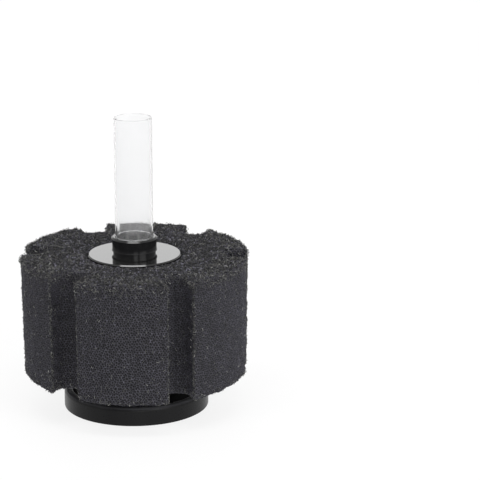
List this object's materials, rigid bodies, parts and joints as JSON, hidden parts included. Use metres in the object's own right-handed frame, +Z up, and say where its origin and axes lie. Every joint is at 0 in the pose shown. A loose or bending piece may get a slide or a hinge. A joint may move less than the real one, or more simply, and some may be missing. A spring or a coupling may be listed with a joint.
{
  "type": "sponge filter",
  "caption": "Air-driven aquarium sponge filter: a lobed foam block on a weighted round base, with a slotted core, a disc and a clear lift tube on top.",
  "frame": {"origin": "centre of the base's underside, where the filter stands", "axes": "+Z up along the lift tube's axis; one foam lobe is centred on -Y"},
  "size_m": [0.1132, 0.1142, 0.149],
  "materials": {
    "foam": "matte",
    "base_plastic": "satin",
    "core_plastic": "satin",
    "disc_plastic": "gloss",
    "collar_plastic": "gloss",
    "clear_tube": "polished",
    "ballast_iron": "matte",
    "seal_rubber": "matte",
    "screw_steel": "satin"
  },
  "bodies": {
    "base": {"base_shell": "base_plastic", "ballast_ring": "ballast_iron", "base_gasket": "seal_rubber", "base_plate": "base_plastic", "base_screws": "screw_steel"},
    "core": {"core_foot": "core_plastic", "cage_lower": "core_plastic", "cage_joint": "core_plastic", "cage_upper": "core_plastic", "core_head": "core_plastic", "air_hub": "core_plastic", "air_nipple": "core_plastic", "bubbler_cup": "core_plastic"},
    "sponge": {"foam": "foam"},
    "cap": {"top_disc": "disc_plastic", "tube_collar": "collar_plastic", "tube_seal": "seal_rubber", "spigot_seal": "seal_rubber"},
    "tube": {"lift_tube": "clear_tube"}
  },
  "joints": [
    {"name": "core_pull", "type": "slide", "parent": "base", "child": "core", "axis": [0, 0, 1], "range_m": [0, 0.015]},
    {"name": "sponge_pull", "type": "slide", "parent": "core", "child": "sponge", "axis": [0, 0, 1], "range_m": [0, 0.07]},
    {"name": "cap_pull", "type": "slide", "parent": "sponge", "child": "cap", "axis": [0, 0, 1], "range_m": [0, 0.03]},
    {"name": "tube_pull", "type": "slide", "parent": "cap", "child": "tube", "axis": [0, 0, 1], "range_m": [0, 0.03]}
  ]
}
